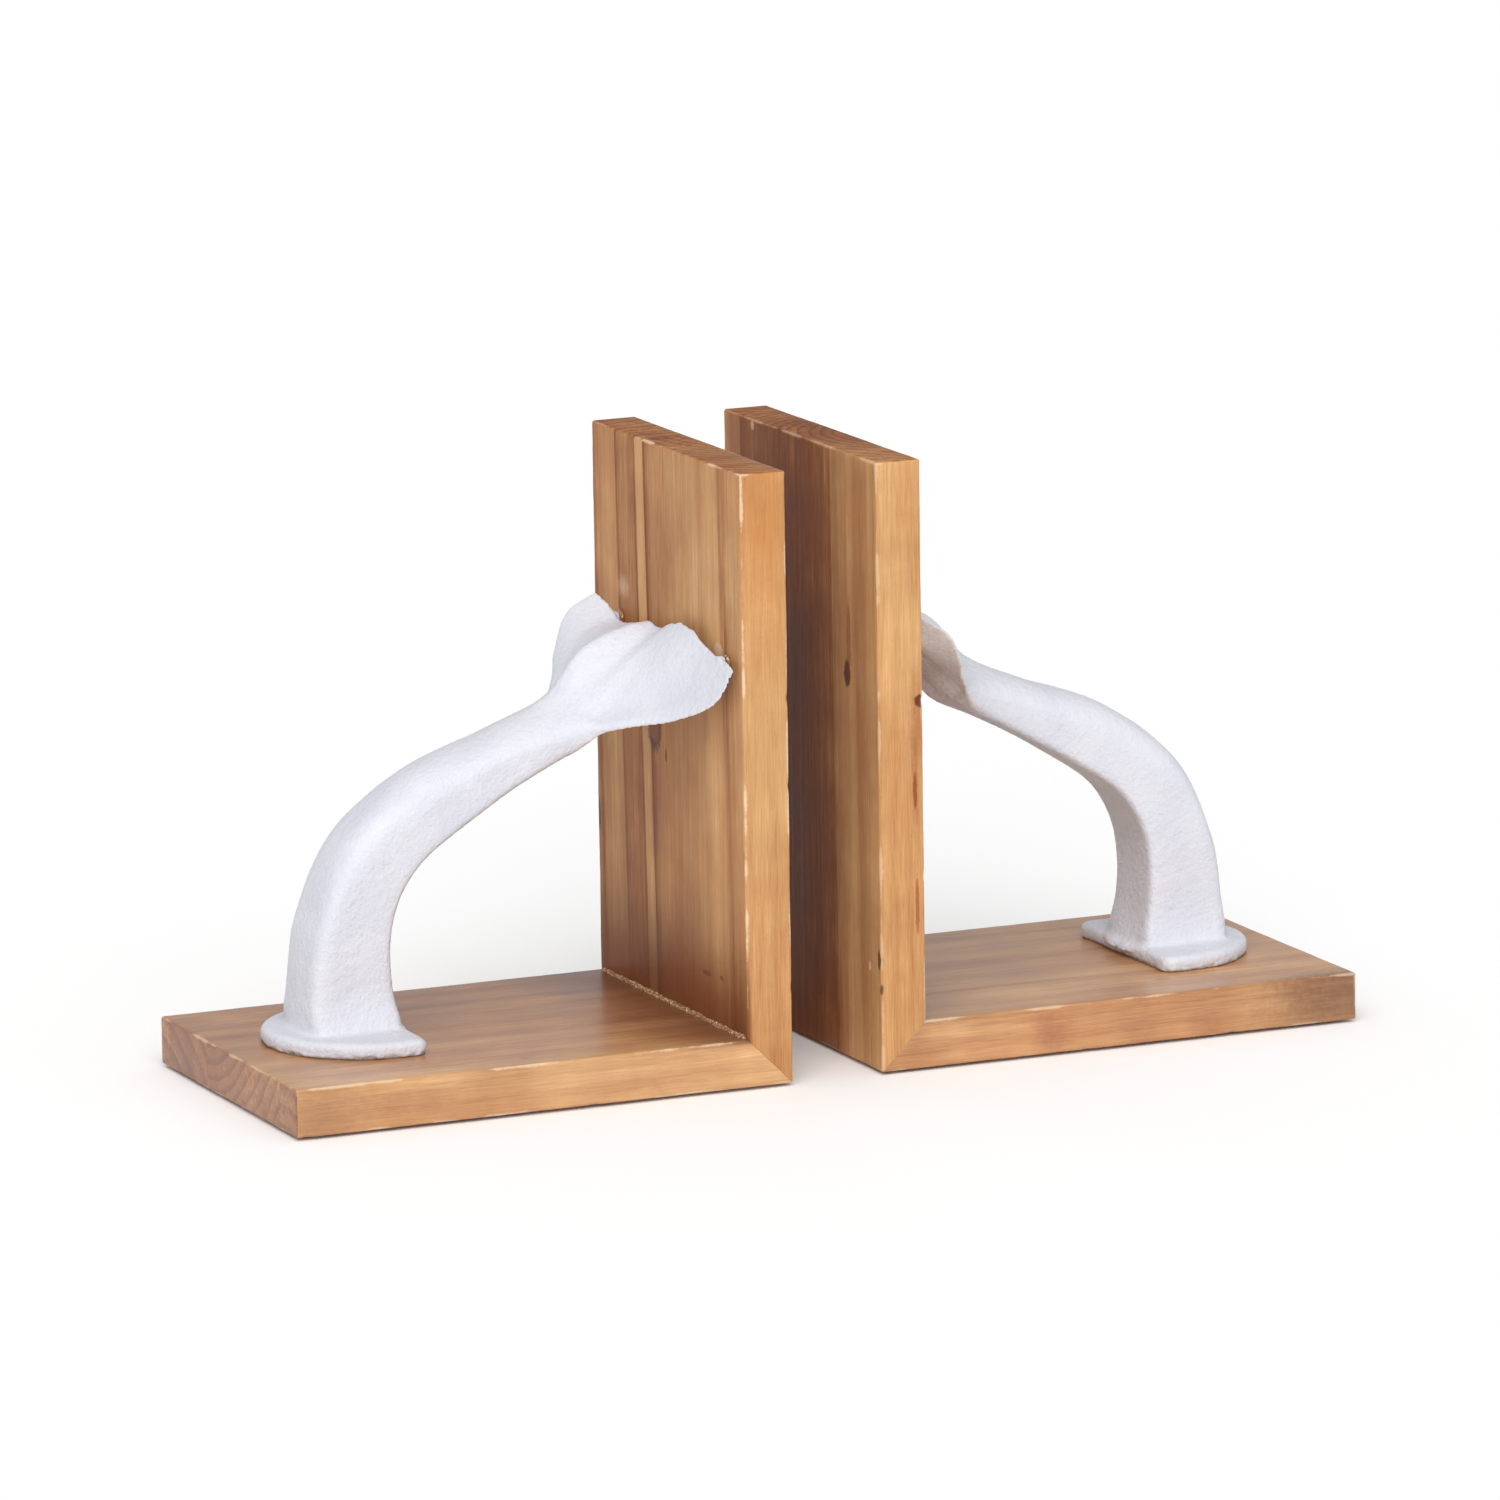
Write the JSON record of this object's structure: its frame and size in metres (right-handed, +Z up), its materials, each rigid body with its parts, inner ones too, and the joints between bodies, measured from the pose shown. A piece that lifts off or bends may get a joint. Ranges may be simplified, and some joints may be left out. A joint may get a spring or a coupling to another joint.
{
  "type": "pair of book ends",
  "caption": "Pair of L-shaped stained wood book ends, each braced by an arched white cast whale tail whose flukes meet the upright.",
  "frame": {"origin": "middle of the pair on the surface it stands on, halfway between the two uprights", "axes": "+X along the row of books towards the right book end, +Y to the back, +Z up"},
  "size_m": [0.356, 0.115, 0.191],
  "materials": {
    "stained_wood": "pine stained honey brown under a satin lacquer, paler on worn edges",
    "white_casting": "satin white paint over a slightly pebbled iron casting",
    "screw_steel": "zinc plated steel",
    "dowel_wood": "plain unfinished beech",
    "dried_glue": "dried wood glue with sawdust in it",
    "felt": "dark pressed felt"
  },
  "bodies": {
    "left_bookend": {"left_upright_front_stave": "stained_wood", "left_upright_middle_stave": "stained_wood", "left_upright_back_stave": "stained_wood", "left_base_front_stave": "stained_wood", "left_base_middle_stave": "stained_wood", "left_base_back_stave": "stained_wood", "left_whale_tail": "white_casting", "left_foot_screws": "screw_steel", "left_mitre_dowels": "dowel_wood", "left_corner_glue_bead": "dried_glue", "left_fluke_glue_dabs": "dried_glue", "left_felt_pads": "felt"},
    "right_bookend": {"right_upright_front_stave": "stained_wood", "right_upright_middle_stave": "stained_wood", "right_upright_back_stave": "stained_wood", "right_base_front_stave": "stained_wood", "right_base_middle_stave": "stained_wood", "right_base_back_stave": "stained_wood", "right_whale_tail": "white_casting", "right_foot_screws": "screw_steel", "right_mitre_dowels": "dowel_wood", "right_corner_glue_bead": "dried_glue", "right_fluke_glue_dabs": "dried_glue", "right_felt_pads": "felt"}
  },
  "joints": [
    {"name": "book_gap_slide", "type": "slide", "parent": "left_bookend", "child": "right_bookend", "axis": [1, 0, 0], "range_m": [-0.0295, 0.35]}
  ]
}
